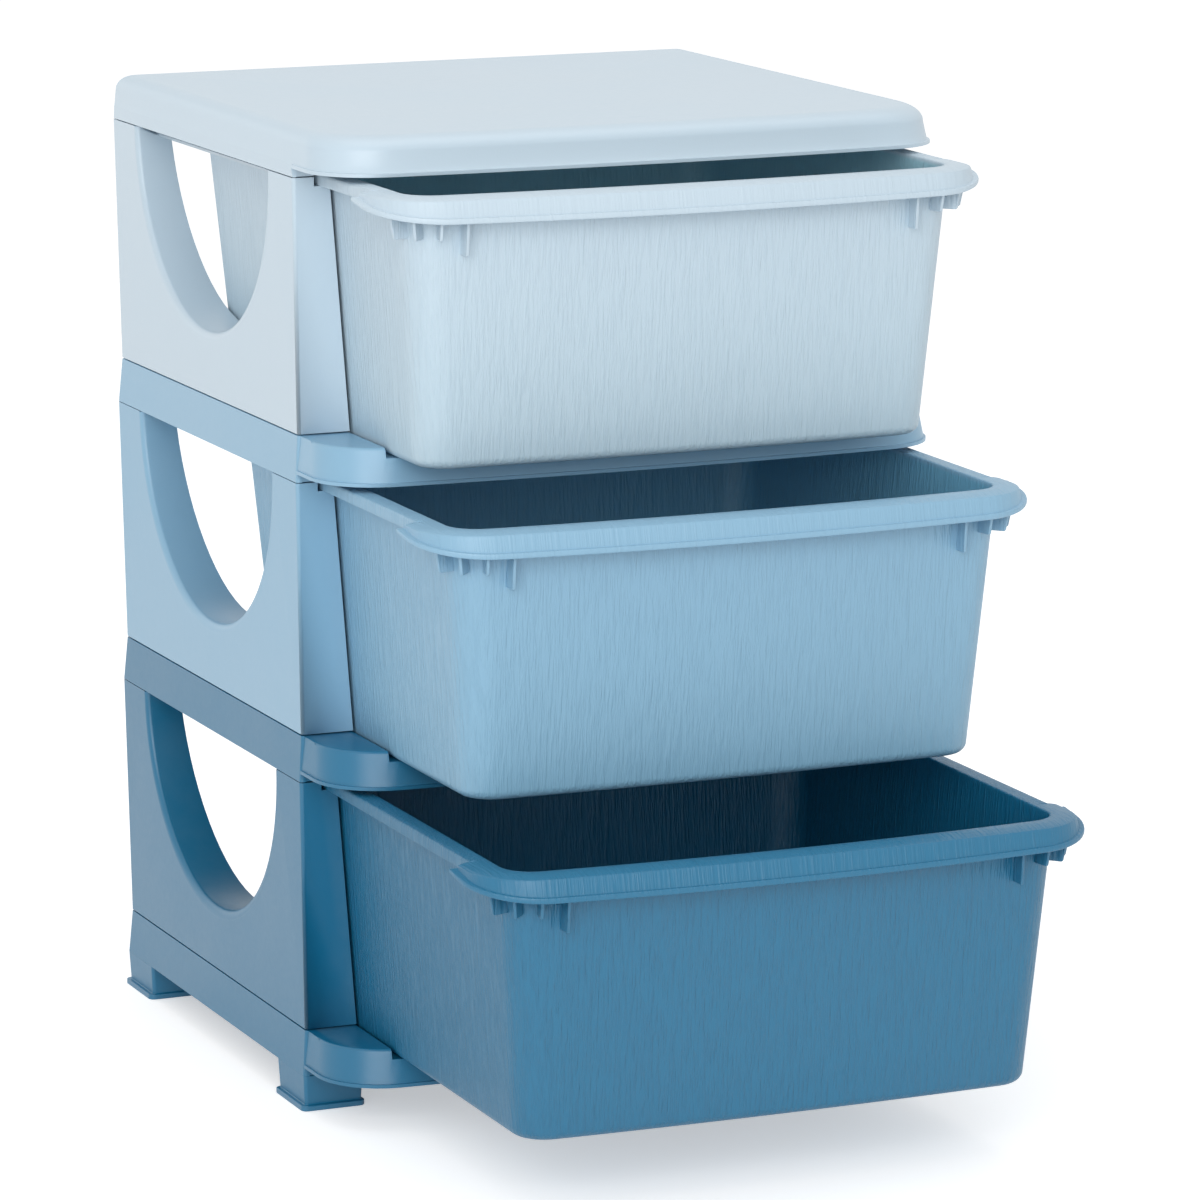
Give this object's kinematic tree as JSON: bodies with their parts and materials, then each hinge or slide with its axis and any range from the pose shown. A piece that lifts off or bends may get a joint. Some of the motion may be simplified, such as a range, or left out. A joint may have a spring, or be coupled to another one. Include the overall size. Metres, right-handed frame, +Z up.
{
  "type": "plastic drawer tower",
  "caption": "Plastic drawer tower in graded blues with hanging drawers, half-ellipse side cut-outs, stacked skirted shelves, a smooth lid and short flared feet.",
  "frame": {"origin": "Middle of the floor rectangle that the tower and its open drawers cover at rest; z = 0 is the floor under the feet.", "axes": "+X runs to the right when facing the drawers, +Y runs from the drawer fronts to the open rear, +Z points up."},
  "size_m": [0.3774, 0.5922, 0.5599],
  "materials": {
    "pale_blue_plastic": "satin moulded polypropylene, very pale blue, fine grain on the drawer",
    "mid_blue_plastic": "satin moulded polypropylene, middle blue, fine grain on the drawer",
    "deep_blue_plastic": "satin moulded polypropylene, deep blue, fine grain on the drawer"
  },
  "bodies": {
    "tower": {"lid": "pale_blue_plastic", "left_panel_top": "pale_blue_plastic", "right_panel_top": "pale_blue_plastic", "upper_shelf": "mid_blue_plastic", "left_panel_middle": "mid_blue_plastic", "right_panel_middle": "mid_blue_plastic", "lower_shelf": "deep_blue_plastic", "left_panel_bottom": "deep_blue_plastic", "right_panel_bottom": "deep_blue_plastic", "base": "deep_blue_plastic", "foot_front_left": "deep_blue_plastic", "foot_front_right": "deep_blue_plastic", "foot_back_left": "deep_blue_plastic", "foot_back_right": "deep_blue_plastic"},
    "top_drawer": {"drawer_top": "pale_blue_plastic"},
    "middle_drawer": {"drawer_middle": "mid_blue_plastic"},
    "bottom_drawer": {"drawer_bottom": "deep_blue_plastic"}
  },
  "joints": [
    {"name": "top_drawer_slide", "type": "slide", "parent": "tower", "child": "top_drawer", "axis": [0, -1, 0], "range_m": [-0.075, 0.16]},
    {"name": "middle_drawer_slide", "type": "slide", "parent": "tower", "child": "middle_drawer", "axis": [0, -1, 0], "range_m": [-0.1385, 0.0965]},
    {"name": "bottom_drawer_slide", "type": "slide", "parent": "tower", "child": "bottom_drawer", "axis": [0, -1, 0], "range_m": [-0.212, 0.023]}
  ]
}
